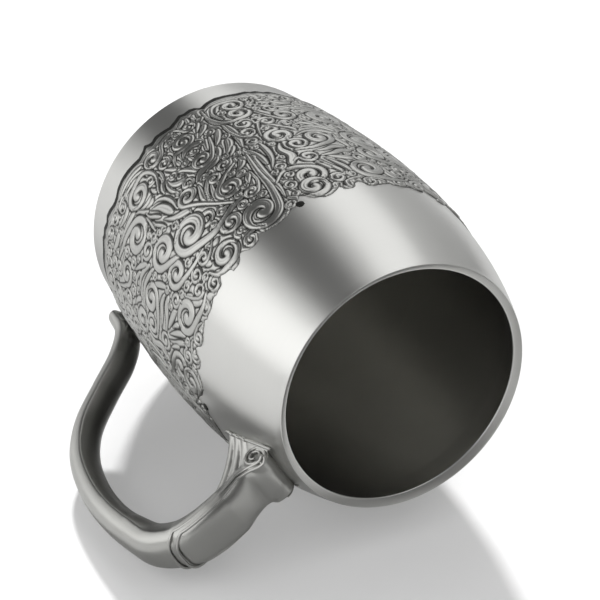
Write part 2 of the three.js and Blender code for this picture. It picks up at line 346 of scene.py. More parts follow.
# Upper half of the barrel. The drawn-in neck is a second turned casting, with a thickened lip that is
# bevelled inwards and a spigot that laps inside the lower half and is soldered there.
lip_width = 2.2
lip_ease = 0.4
lip_taper = 8.0
ease_z = height - lip_ease
throat_z = height - 1.7
throat_radius = mouth_radius - lip_width
upper_profile = [
    *wall_line(belly_z + 0.02, ease_z, 0.0),
    *quarter(wall_radius(ease_z) - lip_ease, ease_z, lip_ease, 0, 75)[1:],
    (throat_radius + lip_ease, throat_z + 0.4),
    *quarter(throat_radius + lip_ease, throat_z, lip_ease, 120, 180),
    (throat_radius + 0.6, throat_z - 2.4),
    *wall_line(throat_z - lip_taper, belly_z - lap_depth + 0.02, -wall)[1:],
    *wall_line(belly_z - lap_depth + 0.02, belly_z + 0.02, -wall / 2 - 0.02, 2),
]
upper = stand(turned(upper_profile), "upper_barrel", "satin_pewter", "barrel_upper")
line_inside(upper, throat_z - 0.1)


# Bottom. A flat turned pewter disc with eased edges, let in flush from below and soldered against
# the ledge, with three shallow lathe rings in its underside.
plate_ease = 0.4
ring_depth = 0.25
plate_line = [(0.0, 0.0)]
for ring_radius in (12.0, 25.0, 34.0):
    plate_line += [(ring_radius - 0.5, 0.0), (ring_radius, ring_depth), (ring_radius + 0.5, 0.0)]
plate_line += [
    (plate_radius - plate_ease, 0.0),
    (plate_radius, plate_ease),
    (plate_radius, plate_thickness - plate_ease),
    (plate_radius - plate_ease, plate_thickness),
    (0.0, plate_thickness),
]
bottom = stand(turned(plate_line), "bottom_plate", "dark_pewter", "base_plate")
bottom.data.materials.append(turned_pewter(
    "bottom_pewter", (0.58, 0.58, 0.55, 1.0), (0.48, 0.48, 0.46, 1.0), 0.34, 0.4))


# Relief jacket. Four pewter castings from one mould, soldered edge to edge round the barrel, with
# scrollwork in low relief whose grounds are blackened and whose tops are rubbed bright.
low_edge = 10.6
high_edge = 87.6
panel_width = math.pi / 2 * belly_radius
columns = 292
rows = 308
groove = 0.24
ground = 0.20
echo = 1.25
horizon = 4.0
relief = 0.58
across = np.linspace(0.0, panel_width, columns + 1)
upward = np.linspace(low_edge, high_edge, rows + 1)
sheet = np.full((rows + 1, columns + 1), ground)
worked = np.zeros(sheet.shape, bool)
clearance = np.full(sheet.shape, horizon)


def through(points, share):
    """Points at the given shares of a smooth curve through a row of points."""
    points = np.asarray(points, float)
    ends = np.vstack([2 * points[0] - points[1], points, 2 * points[-1] - points[-2]])
    place = np.clip(np.asarray(share) * (len(points) - 1), 0.0, len(points) - 1 - 1e-9)
    first = place.astype(int)
    t = (place - first)[:, None]
    a, b, c, d = (ends[first + step] for step in range(4))
    pairs = ((a, b), (b, c), (c, d))
    gaps = [np.sqrt(np.linalg.norm(q[:, :2] - p[:, :2], axis=1))[:, None] for p, q in pairs]
    leave = ((b - a) / gaps[0] - (c - a) / (gaps[0] + gaps[1]) + (c - b) / gaps[1]) * gaps[1]
    reach = ((c - b) / gaps[1] - (d - b) / (gaps[1] + gaps[2]) + (d - c) / gaps[2]) * gaps[1]
    return (b + leave * t + (3 * (c - b) - 2 * leave - reach) * t ** 2
            + (2 * (b - c) + leave + reach) * t ** 3)


def lay(line, half_width, lines, crest):
    """Raises one ribbon on the sheet and cuts a narrow groove round it. Lines gives the number of
    parts that its face is split into, and how deep the splits are at each step."""
    way = np.gradient(line, axis=0)
    way /= np.linalg.norm(way, axis=1)[:, None]
    reach = half_width.max() + horizon
    parts, split = lines
    for lap in (-2, -1, 0, 1, 2):
        path = line + (lap * panel_width, 0.0)
        left, right = np.searchsorted(across, (path[:, 0].min() - reach, path[:, 0].max() + reach))
        under, over = np.searchsorted(upward, (path[:, 1].min() - reach, path[:, 1].max() + reach))
        if left >= right or under >= over:
            continue
        spot = np.stack(np.meshgrid(across[left:right], upward[under:over]), -1)
        off = spot[:, :, None, :] - path
        far = (off ** 2).sum(-1)
        near = far.argmin(-1)
        far = np.sqrt(np.take_along_axis(far, near[..., None], -1)[..., 0])
        off = np.take_along_axis(off, near[..., None, None], 2)[:, :, 0]
        half = half_width[near]
        side = np.sign(way[near, 0] * off[..., 1] - way[near, 1] * off[..., 0])
        lateral = np.clip(side * far / half, -1.0, 1.0)
        shoulder = np.clip((half - far) / np.minimum(half, 0.40 + 0.35 * half), 0.0, 1.0)
        shoulder = np.sqrt(1.0 - (1.0 - shoulder) ** 2)
        furrow = 1.0 - np.abs(np.sin(np.pi * parts * (lateral + 1.0) / 2.0)) ** 0.45
        crown = 1.0 - 0.26 * lateral ** 2
        raised = ground + (crest - ground) * shoulder * crown * (1.0 - split[near] * furrow)
        cover = np.clip((half + groove - far) / 0.16, 0.0, 1.0)
        part = sheet[under:over, left:right]
        part[...] = part * (1.0 - cover) + np.where(far < half, raised, ground) * cover
        worked[under:over, left:right] |= far < half + 0.1
        beside = clearance[under:over, left:right]
        beside[...] = np.minimum(beside, far - half)


def scroll(eye, radius, sense, tail, crest=1.12):
    """A stem that runs up from its root and round the outside, and the fat comma that it curls into."""
    eye = np.array(eye)
    tail = np.array(tail, float)
    stem_half = 0.15 + 0.19 * radius
    bend = radius - stem_half
    away = tail[-1] - eye
    distance = max(math.hypot(*away), bend * 1.02)
    start = math.atan2(away[1], away[0]) + sense * math.acos(bend / distance)

    def coil(turn, share):
        angle = start + sense * math.tau * turn
        return eye + radius * share[:, None] * np.stack([np.cos(angle), np.sin(angle)], -1)

    turn = np.linspace(0.0, 0.66, 40)
    outer = coil(turn, (bend / radius) * (1.0 - 0.10 * turn))
    stem = through(np.vstack([tail, outer[0], outer[3]]), np.linspace(0.0, 1.0 - 1.0 / (len(tail) + 1), 40))
    swell = np.concatenate([0.35 + 0.65 * np.linspace(0.0, 1.0, 39) ** 0.8, 1.0 - 0.75 * (turn / 0.66) ** 2])
    split = np.full(79, 0.55)
    lay(np.vstack([stem[:-1], outer]), stem_half * swell, (3 if radius > 4.6 else 2, split), crest - 0.06)
    turn = np.linspace(0.28, 1.30, 70)
    marks = [0.28, 0.45, 0.60, 0.75, 0.90, 1.05, 1.20, 1.30]
    place = np.interp(turn, marks, [0.84, 0.74, 0.68, 0.60, 0.44, 0.29, 0.15, 0.06])
    fat = np.interp(turn, marks, [0.04, 0.17, 0.25, 0.27, 0.25, 0.23, 0.23, 0.24])
    split = 0.55 * np.clip(1.6 - np.abs(turn - 0.62) / 0.3, 0.0, 1.0)
    parts = 3 if radius > 5.2 else 2
    lay(coil(turn, place), radius * fat, (parts, split if radius > 2.8 else 0.0 * split), crest)


def leaf(points, half_width, crest=1.0):
    """A smooth leaf from its root to its tip. A wide one is split by one or two veins."""
    lines = 1 + (half_width > 0.9) + (half_width > 1.7)
    t = np.linspace(0.0, 1.0, 60)
    shape = np.sin(np.pi * t ** 0.6) ** 0.7
    split = np.full(60, 0.5 * (lines > 1))
    lay(through(points, t), np.maximum(half_width * shape, 0.12), (lines, split), crest)


# Leaves lie deepest in the mould's pattern.
leaf([(-84.6, 48), (-84.2, 55), (-83.5, 62), (-83.3, 68), (-83.6, 74), (-82.8, 79)], 1.45)
leaf([(-89.3, 49), (-89.4, 55), (-88.4, 60), (-86.2, 64.5)], 0.95)
leaf([(-86.2, 61.5), (-86.4, 57), (-85.8, 52.5), (-84.6, 49)], 0.9)
leaf([(-86.6, 31), (-86.9, 37), (-86.2, 43), (-84.9, 48)], 1.3)
leaf([(-89.6, 16.4), (-87.4, 18.6), (-85.6, 21), (-84.9, 24.5), (-85.3, 28.5), (-86.4, 31)], 0.95)
leaf([(-84.4, 31.5), (-83, 34.5), (-81.5, 37.5), (-80, 39.5)], 1.1)
leaf([(-83.9, 39), (-83.3, 42), (-81.8, 44.8), (-80.4, 46.2)], 1.25)
leaf([(-83.6, 44.4), (-82.2, 46.6), (-80.2, 48.6)], 0.75)
leaf([(-82.4, 52), (-80.8, 55.2), (-78.4, 56.8)], 1.2)
leaf([(-85.4, 55.6), (-83.6, 53.8), (-81.4, 51.2)], 1.2)
leaf([(-81, 60), (-79.2, 62.4), (-78.2, 65)], 1.0)
leaf([(-79.8, 40), (-78.6, 43.4), (-76, 46.4), (-72.4, 47.4)], 1.3)
leaf([(-77.6, 44), (-74.2, 44.8), (-70.6, 46), (-68.2, 48)], 1.5)
leaf([(-70.2, 66), (-70.8, 61.5), (-71.8, 57), (-73.6, 52.8)], 0.85)
leaf([(-68.6, 65), (-69, 60.5), (-70, 56), (-71.6, 51.8)], 0.85)
leaf([(-67.4, 62), (-67.6, 58), (-68.4, 54.4), (-70, 51)], 0.85)
leaf([(-65.9, 59), (-66.6, 55), (-67.6, 51.6), (-68, 49.4)], 0.9)
leaf([(-79.6, 39), (-77, 41.6), (-75.8, 38.2), (-77.2, 35)], 1.3)
leaf([(-82.8, 25), (-81, 27.6), (-78.8, 29.8)], 1.15)
leaf([(-82, 22.2), (-80.6, 24.6), (-79.2, 26.8)], 0.65)
leaf([(-80.4, 15.8), (-79.9, 18.4), (-79.2, 20.6)], 0.7)
leaf([(-79.4, 15.6), (-77.5, 17.5), (-75.2, 19.2)], 0.9)
leaf([(-82.8, 16), (-82.2, 18), (-82.6, 20)], 0.8)
leaf([(-74.4, 17.4), (-71, 18.2), (-67.4, 18.2)], 1.4)
leaf([(-78, 33), (-75.4, 31.4), (-72.4, 31.6), (-70.6, 33.8)], 1.3)
leaf([(-72.6, 38.6), (-72, 36), (-71.8, 33.4)], 0.7)
leaf([(-68.7, 35.4), (-68.4, 32.4), (-67.8, 30)], 0.7)
leaf([(-67.2, 35.6), (-65.9, 33.2), (-64.3, 30.6)], 0.95)
leaf([(-71, 44), (-70.2, 41.4), (-68.6, 38.8), (-66.6, 37)], 1.2)
leaf([(-67.4, 42.4), (-64.8, 41.6), (-63, 39), (-62.8, 35.6)], 1.2)
leaf([(-62.2, 43.4), (-61.6, 40.4), (-61.8, 37.4), (-63.2, 34)], 0.75)
leaf([(-59.6, 39), (-60.2, 36.2), (-61.9, 33.6), (-62.9, 30.4), (-62.2, 27)], 0.85)
leaf([(-58.6, 35), (-57.9, 33.2), (-57.5, 31)], 1.0)
leaf([(-56.6, 35.4), (-54.2, 35.6), (-52.2, 34.8)], 0.95)
leaf([(-56.6, 33.6), (-53.8, 33.9), (-51.2, 32.8), (-49.6, 30.8)], 0.85)
leaf([(-52.6, 37), (-51.2, 34.8), (-50.2, 32.6), (-48.4, 30.4)], 0.8)
leaf([(-64.8, 55.9), (-60.6, 53.7), (-57, 50.9), (-54.2, 46.4)], 1.4)
leaf([(-59.3, 49.6), (-59.7, 45), (-58.9, 41), (-56.9, 38.1), (-54.6, 36.9)], 0.85)
leaf([(-57.7, 48.6), (-57, 44.6), (-55.8, 41), (-53.4, 37.9)], 1.6)
leaf([(-53.2, 49.4), (-52.3, 46.6), (-51.2, 43.6), (-51, 40.6)], 0.75)
leaf([(-54.1, 44.4), (-52.9, 41.6), (-51.6, 39), (-51.2, 36)], 0.75)
leaf([(-49.9, 45.6), (-50.3, 42), (-50.5, 38.6), (-49.6, 35)], 0.7)
leaf([(-54, 50.9), (-52.2, 51.5), (-50.6, 49.6)], 1.15)
leaf([(-50.6, 60.2), (-48.4, 58.7), (-46.8, 56.4)], 1.2)
leaf([(-60.4, 57.6), (-59.9, 55.9), (-58.6, 54.4)], 0.7)
leaf([(-61.8, 73.1), (-59.5, 73.1), (-57.6, 71.4)], 1.0)
leaf([(-55.6, 76.7), (-54.3, 76), (-53.2, 73.8)], 1.1)
leaf([(-54.6, 69.1), (-53.2, 71), (-52.4, 72.8)], 1.0)
leaf([(-49.2, 83.9), (-46.6, 82.7), (-43.2, 83.8)], 1.3)
leaf([(-45, 81.2), (-43.3, 78.6), (-41.6, 75.6), (-39, 72.8)], 1.3)
leaf([(-43.9, 76), (-42.6, 73.5), (-40.3, 71.6)], 0.9)
leaf([(-66, 80.2), (-65.2, 78.2), (-66.4, 76)], 0.7)
leaf([(-33.4, 73), (-32.4, 71.1), (-31, 69.4)], 0.85)
leaf([(-32.1, 77.2), (-31, 73.6), (-29.5, 70.5), (-28.2, 68)], 1.0)
leaf([(-29.6, 77.2), (-28.4, 74.4), (-27, 71.4), (-26.2, 68.4)], 0.95)
leaf([(-27, 74.2), (-25.8, 71.5), (-24.4, 69)], 0.9)
leaf([(-36.4, 69.6), (-33, 68.3), (-29.2, 67)], 1.3)
leaf([(-38.4, 64.4), (-35, 64.3), (-32, 65.5), (-27.6, 66)], 1.25)
leaf([(-37.6, 61.8), (-34.4, 61.4), (-31, 62.6), (-27.4, 62.8)], 1.0)
leaf([(-39.7, 61.6), (-38.7, 58), (-37.3, 55), (-35.2, 52.4)], 1.0)
leaf([(-41.6, 52.6), (-38.5, 50.8), (-35, 49.4), (-31, 49.6), (-27, 51.6)], 0.95)
leaf([(-41, 49.6), (-38, 46.9), (-34.5, 45.8), (-30.2, 46.7)], 1.05)
leaf([(-40.2, 47.6), (-37.8, 44), (-35.2, 41)], 1.05)
leaf([(-36.6, 45), (-33.8, 43.2), (-30, 43.8)], 0.85)
leaf([(-29.4, 48), (-27.8, 45.2), (-25.4, 43.6)], 0.9)
leaf([(-48.6, 24.4), (-46, 25.3), (-43.5, 25.2), (-40.6, 24)], 1.1)
leaf([(-49.2, 29.5), (-45.5, 28.8), (-41, 28.2), (-35.6, 27)], 1.2)
leaf([(-43.6, 22.6), (-43, 20.4), (-42.2, 18)], 0.85)
leaf([(-39.4, 24.6), (-35.6, 24.4), (-31.4, 22)], 1.4)
leaf([(-60.4, 18.8), (-57, 17.3), (-52, 16.8), (-47.2, 17.6)], 0.95)
leaf([(-59.3, 25.2), (-59.7, 22.3), (-58, 19.9), (-54.5, 18.5), (-49.6, 18.3)], 0.8)
leaf([(-57.9, 21.7), (-55.5, 20.4), (-52, 20), (-48.6, 20.7)], 0.8)
leaf([(-91, 66.5), (-93.5, 62), (-92.5, 57), (-94, 53)], 1.5)

# Scrolls lie over them, the two widest last.
scroll((-67.5, 83.6), 2.6, 1, [(-72, 85.6), (-70.5, 82)])
scroll((-51.5, 82.2), 2.9, 1, [(-57.5, 84.5), (-54.6, 81)])
scroll((-44.0, 83.3), 2.3, -1, [(-47.5, 80.5), (-46.2, 82)])
scroll((-34.5, 83.6), 2.4, 1, [(-39.5, 83.5), (-37.6, 82.2)])
scroll((-28.8, 83.5), 2.4, 1, [(-33.0, 81.2), (-31.6, 80.8)])
scroll((-60.0, 79.8), 5.0, 1, [(-52.6, 78.2), (-54.2, 82)])
scroll((-67.0, 72.6), 4.1, 1, [(-76.5, 67.6), (-71.5, 68.2)])
scroll((-54.6, 72.8), 2.6, -1, [(-59.8, 71.4), (-58, 73.4)])
scroll((-49.4, 73.8), 2.6, 1, [(-52.0, 69.8), (-50.6, 70.4)])
scroll((-46.5, 77.8), 2.6, 1, [(-42.2, 72.4), (-43, 75.4)])
scroll((-77.2, 68.4), 2.6, -1, [(-81, 60.5), (-80.6, 66)])
scroll((-73.4, 60.6), 4.5, 1, [(-79.6, 52.5), (-75.6, 54.6)])
scroll((-72.4, 52.4), 2.6, -1, [(-67.5, 58.8), (-68.6, 54.8)])
scroll((-74.2, 41.2), 4.0, -1, [(-80.6, 33), (-79, 38.5)])
scroll((-74.0, 26.6), 4.2, 1, [(-67.4, 33.8), (-69.4, 29.6)])
scroll((-64.2, 21.4), 4.2, -1, [(-72.6, 17.4), (-69.2, 19)])
scroll((-78.8, 21.2), 2.6, 1, [(-73.8, 16.8), (-75.6, 18.6)])
scroll((-66.4, 45.2), 2.5, 1, [(-60.8, 44.8), (-62.6, 46.6)])
scroll((-59.0, 28.4), 2.3, -1, [(-61.5, 34.5), (-61.6, 31)])
scroll((-53.1, 26.8), 5.4, 1, [(-58.6, 36), (-61.4, 28), (-58.8, 22)])
scroll((-44.2, 36.6), 6.3, -1, [(-31.5, 27.5), (-37, 29.6), (-40.5, 30)])
scroll((-33.0, 54.6), 4.8, 1, [(-23, 59.6), (-28.4, 60.2)])
scroll((-31.4, 35.6), 4.2, 1, [(-24.5, 29.5), (-26.4, 34)])
scroll((-30.2, 29.2), 2.6, -1, [(-35.8, 31.8), (-33.2, 31.8)])
scroll((-41.6, 19.4), 2.4, -1, [(-46.4, 17.4), (-44.4, 18)])
scroll((-36.6, 18.8), 2.2, 1, [(-32.6, 16.8), (-34, 17.4)])
scroll((-30.8, 19.4), 2.4, -1, [(-26.6, 22.6), (-28.2, 21.6)])
scroll((-97.4, 37.6), 3.0, -1, [(-91.8, 46), (-93.4, 40.5)])
scroll((-89.4, 41.2), 3.1, 1, [(-86.2, 30.5), (-86.2, 38)])
scroll((-93.4, 27.6), 4.2, 1, [(-85.6, 16.6), (-85.2, 24), (-88, 30.6)])
scroll((-94.2, 20.8), 4.3, -1, [(-87.8, 27.4), (-87.2, 21.4), (-89.8, 17.2)])
scroll((-63.0, 63.2), 3.3, 1, [(-61.8, 55), (-60.0, 59)])
scroll((-63.4, 49.6), 3.9, -1, [(-71.6, 67), (-68.6, 63), (-64.4, 56)])
scroll((-45.2, 64.6), 4.8, -1, [(-56.4, 70.4), (-52, 70.6), (-48.5, 70)])
scroll((-46.8, 53.8), 6.0, -1, [(-53.2, 66), (-51, 63), (-47.4, 60.4)])
scroll((-37.6, 76.0), 5.6, -1, [(-47.6, 81), (-43.6, 82)])
scroll((-93.2, 74.2), 5.2, -1, [(-83.6, 71.5), (-87.6, 68), (-91, 68.2)])
scroll((-91.4, 80.0), 5.0, 1, [(-83.2, 79.6), (-86.4, 82.6)])
scroll((-56.6, 61.2), 7.2, -1, [(-70.6, 67.6), (-66, 69.4), (-61.5, 70)])
scroll((-75.0, 78.4), 6.6, -1, [(-84, 52), (-82.6, 62), (-81.8, 72)])

# Every wide gap that is left takes a small scroll.
thin = 2
free_low = 16.2
free_high = 84.4
step_u = across[thin] - across[0]
step_z = upward[thin] - upward[0]
least_room = 1.35
fills_each_pass = 6
rng = np.random.default_rng(7)
for _ in range(70):
    taken = worked[::thin, :-1:thin].copy()
    levels = upward[::thin]
    taken[(levels < free_low) | (levels > free_high)] = True
    count = taken.shape[1]
    apart = np.abs(np.arange(count)[:, None] - np.arange(count))
    apart = np.minimum(apart, count - apart) * step_u
    aside = np.where(taken[:, None, :], apart[None], 99.0).min(-1)
    climb = np.abs(np.arange(len(levels))[:, None] - np.arange(len(levels))) * step_z
    room = np.sqrt((climb[:, :, None] ** 2 + aside[None] ** 2).min(1))
    made = 0
    spent = np.zeros(room.shape, bool)
    while made < fills_each_pass:
        best = np.where(spent, 0.0, room)
        row, column = np.unravel_index(best.argmax(), best.shape)
        space = best[row, column]
        if space < least_room:
            break
        centre = np.array([across[column * thin], levels[row]])
        du = np.abs(across[:-1:thin] - centre[0])
        du = np.minimum(du, panel_width - du)
        spent |= du[None] ** 2 + (levels[:, None] - centre[1]) ** 2 < (3.2 * space + 1.0) ** 2
        wrapped = (across[:-1:thin] - centre[0] + panel_width / 2) % panel_width - panel_width / 2
        near = (~taken) & (wrapped[None] ** 2 + (levels[:, None] - centre[1]) ** 2 < (2.6 * space) ** 2)
        dz, du = np.nonzero(near)
        cloud = np.stack([wrapped[du], levels[dz] - centre[1]], -1)
        axes = np.linalg.eigh(np.cov(cloud.T) + np.eye(2) * 1e-6)[1]
        way = axes[:, 1] * rng.choice((-1.0, 1.0))
        turn = rng.choice((-1, 1))
        bow = np.array([-way[1], way[0]]) * turn
        tail = [centre - way * space * 1.35 - bow * space * 0.4, centre - way * space * 0.95]
        scroll(centre, space * 0.98, turn, tail, 0.98)
        made += 1
    if not made:
        break

# Between the ribbons the ground is filled with ribs that follow their edges.
order = np.maximum((clearance - groove) / echo, 0.0)
rib = np.sin(np.pi * (order % 1.0)) ** 0.5 * (0.80 - 0.10 * np.floor(order))
sheet = np.where(worked, sheet, np.maximum(sheet, ground + (rib - ground) * np.clip(order * 6.0, 0.0, 1.0)))

# A black bead stands at one tip of the upper border. Past both borders the sheet sinks into the wall,
# and a thin black line is left along the lower one: patina together with painted shadow under the border's
# edge.
upper_border = np.array([
    (-99.99, 85.5), (-98.2, 84.8), (-97.4, 83.1), (-96.8, 84.0), (-94.3, 85.5), (-91.8, 85.8), (-89.3, 84.6),
    (-87.2, 82.1), (-85.9, 81.0), (-83.2, 84.0), (-81.4, 84.2), (-79.3, 85.6), (-76.0, 86.0), (-71.7, 84.9),
    (-69.7, 83.8), (-68.7, 85.8), (-66.7, 86.2), (-65.0, 85.6), (-63.5, 84.2), (-62.4, 83.8), (-61.4, 85.2),
    (-59.8, 86.2), (-57.7, 86.1), (-57.3, 84.6), (-55.4, 83.8), (-54.1, 82.5), (-53.3, 83.1), (-52.3, 84.8),
    (-48.8, 84.8), (-47.9, 84.2), (-45.6, 85.1), (-41.4, 85.0), (-40.6, 84.0), (-38.7, 84.6), (-34.8, 85.4),
    (-32.9, 85.1), (-31.3, 82.6), (-29.8, 82.9), (-29.0, 84.8), (-27.1, 85.5),
])
lower_border = np.array([
    (-117.79, 16.0), (-116.5, 15.6), (-114.5, 14.4), (-112.0, 13.6), (-110.0, 14.6), (-107.5, 13.4),
    (-105.3, 13.9), (-104.0, 13.1), (-102.4, 13.5), (-100.0, 13.9), (-96.0, 13.3), (-92.7, 13.1),
    (-89.5, 14.1), (-86.7, 15.8), (-85.4, 14.1), (-83.8, 13.3), (-81.4, 13.9), (-79.8, 13.1),
    (-77.3, 14.8), (-74.9, 15.8), (-72.5, 15.0), (-69.6, 14.4), (-67.6, 15.4), (-66.8, 15.1),
    (-65.2, 13.5), (-63.6, 15.1), (-61.1, 16.0), (-58.7, 15.2), (-55.5, 14.3), (-52.2, 14.0),
    (-49.0, 14.5), (-46.6, 15.8), (-44.9, 16.0),
])
top = np.interp(across, *upper_border.T, period=panel_width)
foot = np.interp(across, *lower_border.T, period=panel_width)
rise = upward[:, None] - foot
sheet = sheet * (0.5 + 0.5 * np.clip(rise / 3.0, 0.0, 1.0))
past_top = np.clip((upward[:, None] - top) / 0.25, 0.0, 1.0)
past_foot = np.clip(-rise / 0.25, 0.0, 1.0)
past_line = np.clip((-2.3 - rise) / 0.3, 0.0, 1.0)
sheet = sheet * (1.0 - past_top) - 0.5 * past_top
sheet = sheet * (1.0 - past_foot) + 0.07 * past_foot - 0.6 * past_line
bead_u = (-84.5 - across + panel_width / 2) % panel_width - panel_width / 2
bead = np.clip(1.0 - (bead_u ** 2 + (upward[:, None] - 84.2) ** 2) / 1.3 ** 2, 0.0, 1.0)
sheet = np.where(bead > 0.0, 0.6 * np.sqrt(bead), sheet)
padded = np.vstack([sheet[::-1, :-1], sheet[:, :-1]])


def softened(field, spread):
    turns_u = np.fft.rfftfreq(field.shape[1], panel_width / columns)
    turns_z = np.fft.fftfreq(field.shape[0], (high_edge - low_edge) / rows)
    pass_band = np.exp(-2 * (math.pi * spread) ** 2 * (turns_u[None] ** 2 + turns_z[:, None] ** 2))
    return np.fft.irfft2(np.fft.rfft2(field) * pass_band, s=field.shape)


half_rows = rows + 1
soft = softened(padded, 0.12)[half_rows:]
around = softened(np.maximum(padded, 0.0), 0.9)[half_rows:]
depth = np.clip((around - soft) * 2.8, 0.0, 1.0) * 0.85 + np.clip(1.0 - soft / 0.6, 0.0, 1.0) * 0.5
depth = np.clip(depth, 0.0, 0.9)
# Along the lower border the black is patina together with a painted shadow of the border's edge.
depth = np.where((past_foot + bead > 0.1)[:, :-1], 1.0, depth)
soft = relief * np.hstack([soft, soft[:, :1]])
depth = np.hstack([depth, depth[:, :1]])

back_rows = 8
back_depth = 0.9
relief_finish, tree = new_finish("relief_pewter")
patina_and_painted_shade = Shade.node(tree, "ShaderNodeAttribute", {"attribute_name": "patina_and_painted_shade"}, out="Fac")
place = Shade.node(tree, "ShaderNodeTexCoord", out="Object")
grain = speckle(tree, place, 900.0, 2.0)
cloud = speckle(tree, place, 60.0, 3.0)
rubbed = blend(tree, cloud, (0.38, 0.38, 0.366, 1.0), (0.475, 0.475, 0.456, 1.0))
# This black serves both the patina in the grounds and the painted shadow line along the lower border.
blackened = blend(tree, grain, (0.012, 0.012, 0.011, 1.0), (0.05, 0.05, 0.046, 1.0))
mask = Shade.node(tree, "ShaderNodeClamp", sockets={"Value": patina_and_painted_shade * 1.1 + (grain - 0.5) * 0.25 * patina_and_painted_shade})
patina = blend(tree, mask, rubbed, blackened)
tooth = Shade.node(tree, "ShaderNodeBump", sockets={"Strength": 0.25, "Distance": 0.00003, "Height": grain})
show(tree, Shade.node(tree, "ShaderNodeBsdfPrincipled", sockets={
    "Base Color": patina, "Metallic": 1.0, "Roughness": 0.30 + 0.3 * mask, "Normal": tooth,
}))
wall_at = np.array([wall_radius(z) for z in upward])
for index in range(4):
    shape = bmesh.new()
    bmesh.ops.create_grid(shape, x_segments=columns, y_segments=rows + back_rows, size=0.5)
    tone = shape.verts.layers.float.new("patina_and_painted_shade")
    for vert in shape.verts:
        column = round((vert.co.x + 0.5) * columns)
        row = round((vert.co.y + 0.5) * (rows + back_rows))
        if row <= rows:
            z = upward[row]
            radius = wall_at[row] + soft[row, column]
            vert[tone] = depth[row, column]
        else:
            z = high_edge + (low_edge - high_edge) * (row - rows) / back_rows
            last = row == rows + back_rows
            radius = wall_radius(z) + soft[0, column] if last else wall_radius(z) - back_depth
        angle = math.pi / 2 * (index + column / columns)
        vert.co = (radius * math.cos(angle), radius * math.sin(angle), z)
    bmesh.ops.remove_doubles(shape, verts=[v for v in shape.verts if v.co.z < low_edge + 1e-4], dist=1e-5)
    rims = [edge for edge in shape.edges if edge.is_boundary]
    for edge in rims:
        edge.smooth = False
    bmesh.ops.holes_fill(shape, edges=rims, sides=0)
    bmesh.ops.recalc_face_normals(shape, faces=shape.faces)
    number = index + 1
    panel = stand(shape, f"scroll_panel_{number}", "relief_pewter", f"relief_panel_{number}")
    panel.data.materials.append(relief_finish)


# Handle. One solid pewter casting soldered to the wall at both ends: a broad arm with a raised back
# panel, an S-curved grip and tail, and a fluted bracket with a scroll eye on either side.
arm_z = 111.0
tail_z = 12.5
reach = 38.0
half_wide = 6.6
half_deep = 4.75
stations = np.array([
    (0.998, -0.14, 1.02, 0.86), (1.0, 0.10, 1.20, 0.98), (0.994, 0.205, 1.21, 0.70),
    (1.005, 0.42, 1.16, 0.75), (1.005, 0.64, 1.12, 0.82), (0.983, 0.84, 1.07, 0.96),
    (0.918, 0.968, 0.99, 1.0), (0.827, 0.994, 0.92, 0.95), (0.69, 1.008, 0.87, 0.88),
    (0.543, 0.977, 0.85, 0.83), (0.406, 0.885, 0.83, 0.78), (0.302, 0.717, 0.8, 0.68),
    (0.226, 0.466, 0.78, 0.62), (0.158, 0.215, 0.78, 0.64), (0.085, 0.08, 0.78, 0.60),
    (0.0, 0.075, 0.76, 0.50),
])
levels = tail_z + (arm_z - tail_z) * stations[:, 0]
spine = np.array([
    (wall_radius(z) + reach * out, z, half_wide * wide, half_deep * deep)
    for z, (out, wide, deep) in zip(levels, stations[:, 1:])
])
section_points = 56
round_from = 0.066
round_run = 0.03
grip_from = 0.35
grip_run = 0.15


def swell(value, power):
    return math.copysign(abs(value) ** power, value)


def strap_spots(share, angles, lift):
    """Points of the strap's skin at a share of its length: a full back, a rounded palm, and between them
    a crisp edge that the grip carries lower. The arm rounds off just before it meets the wall."""
    behind, here, ahead = through(spine, [max(share - 0.002, 0.0), share, min(share + 0.002, 1.0)])
    rounding = 1.0 - math.sqrt(1.0 - min(max((round_from - share) / round_run, 0.0), 1.0) ** 2)
    here[2:] *= (1.0 - 0.2 * rounding, 1.0 - 0.5 * rounding)
    way = Vector((ahead[0] - behind[0], 0.0, ahead[1] - behind[1])).normalized()
    back = way.cross(Vector((0.0, 1.0, 0.0)))
    gripped = min(max((share - grip_from) / grip_run, 0.0), 1.0)
    edge = 0.4 * here[3] * gripped
    palm_depth = (1.5 - 0.35 * gripped) * here[3] - edge
    spots = []
    for angle in angles:
        if math.sin(angle) > 0:
            side = swell(math.cos(angle), 0.7)
            rise = (here[3] + edge) * math.sin(angle) ** 0.7 - edge + lift
        else:
            side = math.cos(angle)
            rise = palm_depth * (abs(side) ** 2.2 - 1.0) - edge
        spots.append(Vector((here[0], (here[2] + lift / 2) * side, here[1])) + back * rise)
    return spots


def skin(shape, rings):
    """Bridges a row of closed rings of points and closes both ends."""
    loops = []
    for ring in rings:
        loop = bmesh.ops.create_circle(shape, segments=len(ring), radius=1.0)["verts"]
        for vert, spot in zip(loop, ring):
            vert.co = spot
        loops.append(loop)
    for loop, after in zip(loops, loops[1:]):
        edges = {edge for vert in loop + after for edge in vert.link_edges if len(edge.link_faces) < 2}
        edges = [edge for edge in edges if {v in loop for v in edge.verts} != {True, False}]
        bmesh.ops.bridge_loops(shape, edges=edges)
    for loop in (loops[0], loops[-1]):
        shape.faces.new(loop)


casting = bmesh.new()
turns = [2 * math.pi * corner / section_points for corner in range(section_points)]
skin(casting, [strap_spots(share, turns, 0.0) for share in np.linspace(0.0, 1.0, 150)])
panel_from = 0.14
panel_to = 0.335
panel_rise = 0.9


def panel_lift(share):
    """How far the panel stands off the arm: it swells from the root and ends sharply at the shoulder."""
    run = min(max((share - panel_from) / (panel_to - panel_from), 0.002), 0.998)
    return panel_rise * min(run / 0.35, 1.0) ** 2 * math.sin(math.pi * max(run, 0.5)) ** 0.3


panel_shares = np.linspace(panel_from, panel_to, 41)
skin(casting, [strap_spots(share, turns, panel_lift(share)) for share in panel_shares])

